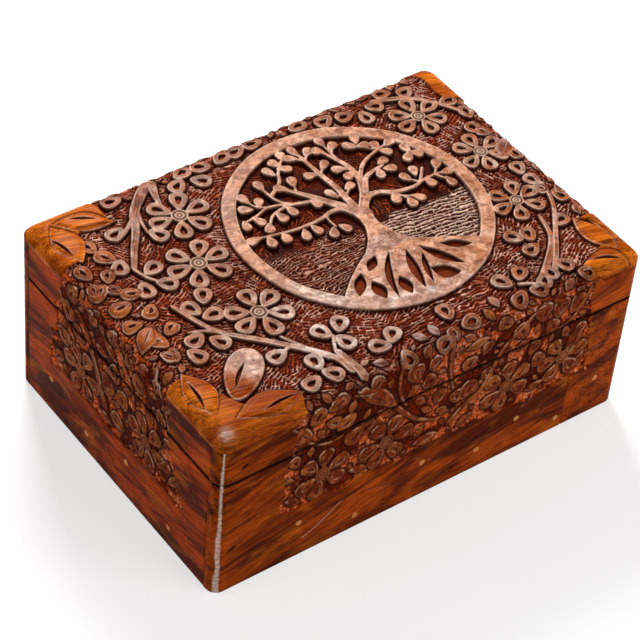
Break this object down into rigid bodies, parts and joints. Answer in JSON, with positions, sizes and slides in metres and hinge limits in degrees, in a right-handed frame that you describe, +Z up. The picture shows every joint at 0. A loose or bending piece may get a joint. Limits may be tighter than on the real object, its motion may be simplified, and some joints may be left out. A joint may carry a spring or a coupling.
{
  "type": "carved wooden box",
  "caption": "Rectangular hardwood box with a hinged, pillow-edged lid carved in relief with a tree in a ring, flowers and vines.",
  "frame": {"origin": "middle of the flat underside, on the surface that the box stands on", "axes": "+X along the long side to the right as seen from the front, -Y out of the front, +Z up"},
  "size_m": [0.254, 0.177, 0.105],
  "materials": {
    "carved_wood": "carved, oiled and polished",
    "polished_wood": "satin polish",
    "inner_wood": "plain",
    "peg_wood": "cut flush and polished",
    "brass": "satin"
  },
  "bodies": {
    "base": {"base_back_board": "polished_wood", "base_front_board": "polished_wood", "base_front_end_board": "polished_wood", "base_left_board": "polished_wood", "base_right_board": "polished_wood", "bottom_board": "inner_wood", "hinge_left_base_leaf": "brass", "hinge_left_base_screw_1": "brass", "hinge_left_base_screw_2": "brass", "hinge_left_pin": "brass", "hinge_right_base_leaf": "brass", "hinge_right_base_screw_1": "brass", "hinge_right_base_screw_2": "brass", "hinge_right_pin": "brass", "peg_back_1": "peg_wood", "peg_back_2": "peg_wood", "peg_back_3": "peg_wood", "peg_back_4": "peg_wood", "peg_back_5": "peg_wood", "peg_back_6": "peg_wood", "peg_back_7": "peg_wood", "peg_front_1": "peg_wood", "peg_front_2": "peg_wood", "peg_front_3": "peg_wood", "peg_front_4": "peg_wood", "peg_front_5": "peg_wood", "peg_front_6": "peg_wood", "peg_front_7": "peg_wood", "peg_left_1": "peg_wood", "peg_left_2": "peg_wood", "peg_left_3": "peg_wood", "peg_left_4": "peg_wood", "peg_right_1": "peg_wood", "peg_right_2": "peg_wood", "peg_right_3": "peg_wood", "peg_right_4": "peg_wood"},
    "lid": {"hinge_left_lid_leaf": "brass", "hinge_left_lid_screw_1": "brass", "hinge_left_lid_screw_2": "brass", "hinge_right_lid_leaf": "brass", "hinge_right_lid_screw_1": "brass", "hinge_right_lid_screw_2": "brass", "lid_back_rim": "polished_wood", "lid_front_rim": "polished_wood", "lid_left_rim": "polished_wood", "lid_right_rim": "polished_wood", "lid_top_board": "carved_wood"}
  },
  "joints": [
    {"name": "lid_hinge", "type": "hinge", "parent": "base", "child": "lid", "pos_m": [0, 0.0867, 0.075], "axis": [-1, 0, 0], "range_deg": [0, 100]}
  ]
}
